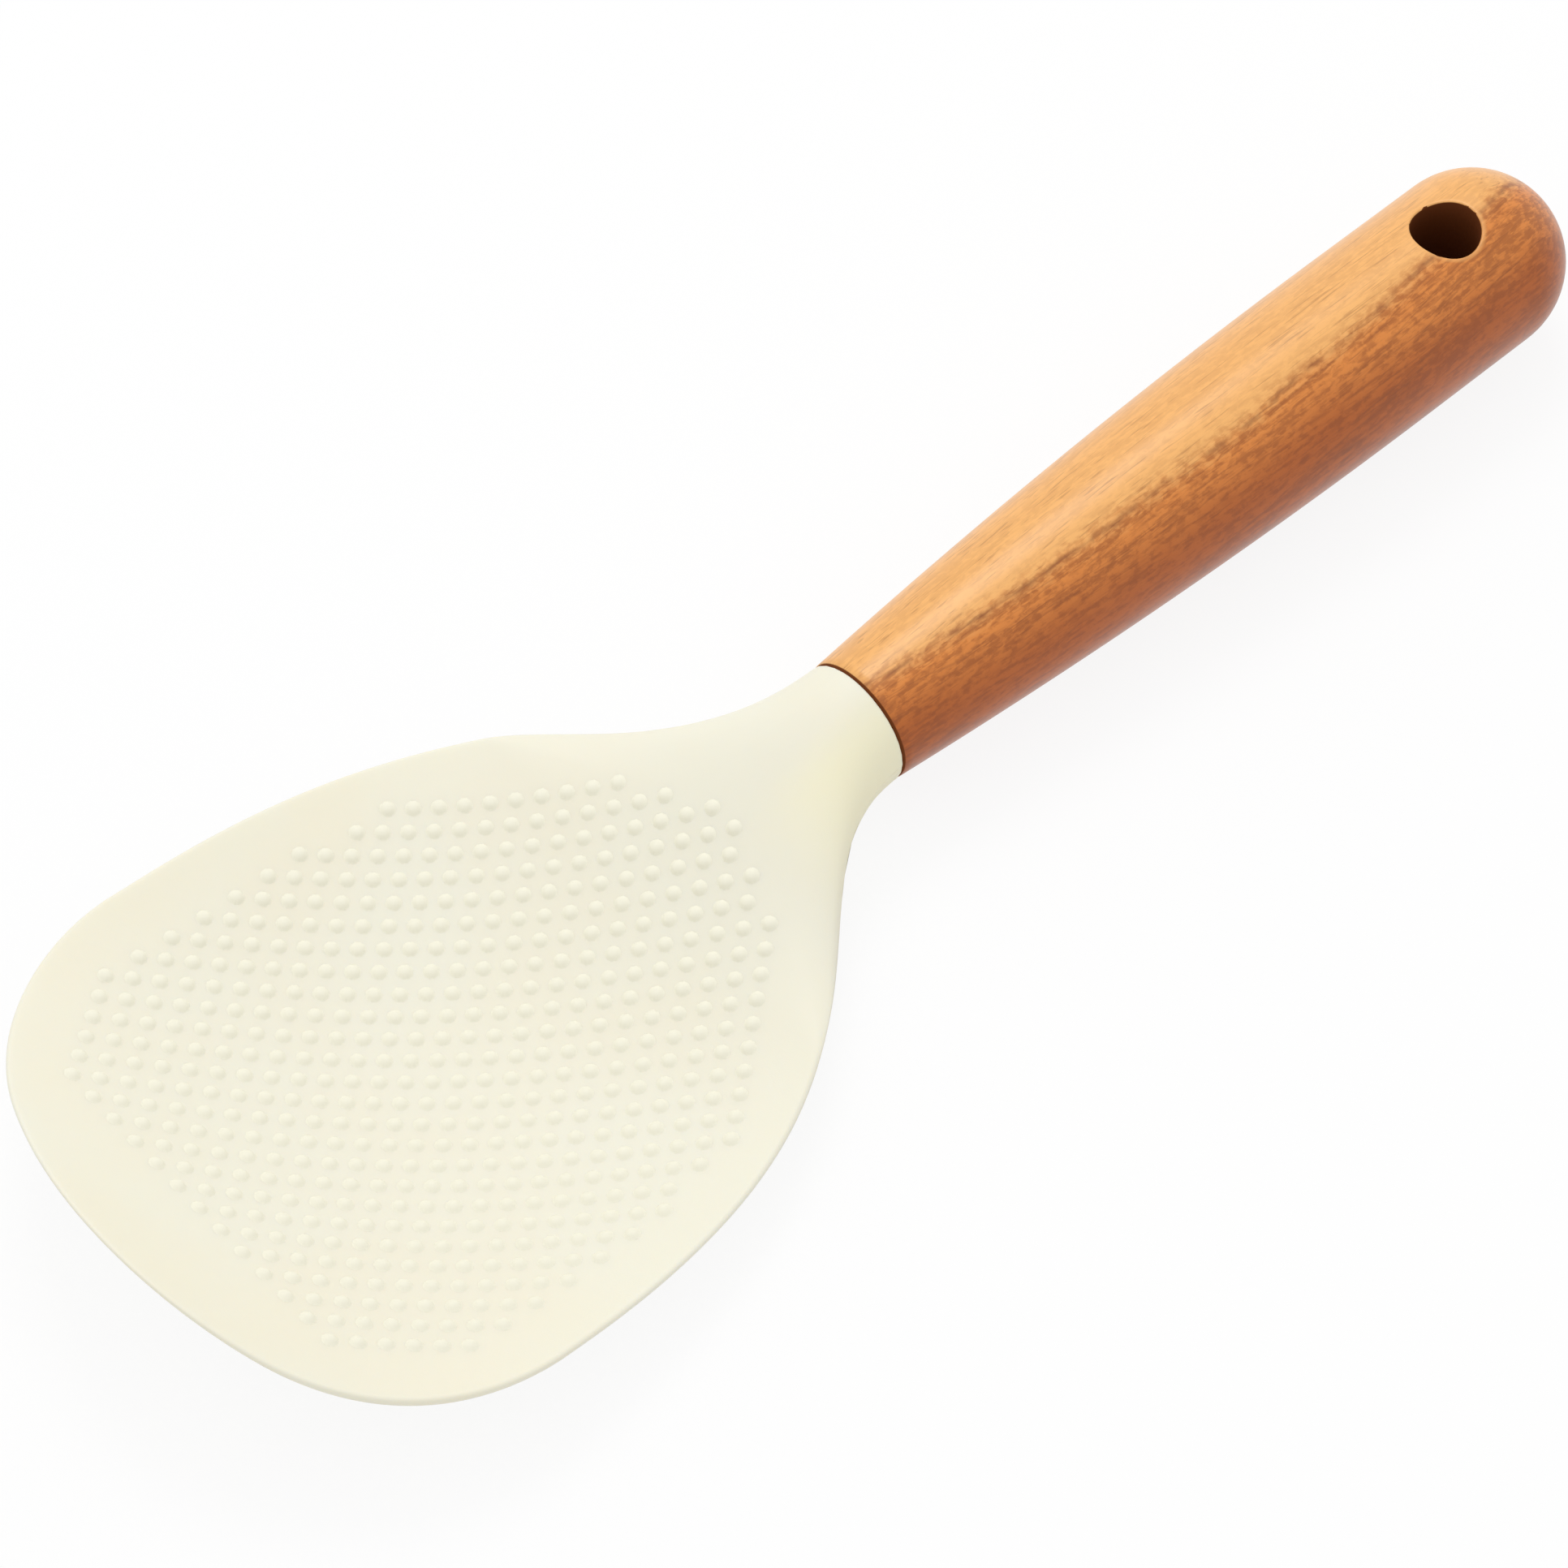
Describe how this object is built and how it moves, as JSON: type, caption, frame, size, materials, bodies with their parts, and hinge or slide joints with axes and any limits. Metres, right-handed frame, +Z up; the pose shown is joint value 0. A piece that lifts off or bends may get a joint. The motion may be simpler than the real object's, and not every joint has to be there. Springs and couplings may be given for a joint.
{
  "type": "rice paddle",
  "caption": "Rice paddle: a dished silicone blade with a field of small studs on a stiff core, glued into a round wooden handle with a hanging hole.",
  "frame": {"origin": "on the plane that the paddle lies on, below the middle of its length and width", "axes": "+X from the blade's tip towards the handle's round end, along the handle's axis; +Z up, out of the dish; +Y completes a right-handed frame"},
  "size_m": [0.2425, 0.085, 0.0253],
  "materials": {
    "silicone": "cream, matte, moulded",
    "core_plastic": "as moulded, hidden",
    "glue": "cured, hidden",
    "wood": "turned beech-like wood, satin lacquer"
  },
  "bodies": {
    "root": {"silicone_blade": "silicone", "blade_core": "core_plastic", "socket_adhesive": "glue", "handle": "wood"}
  },
  "joints": []
}
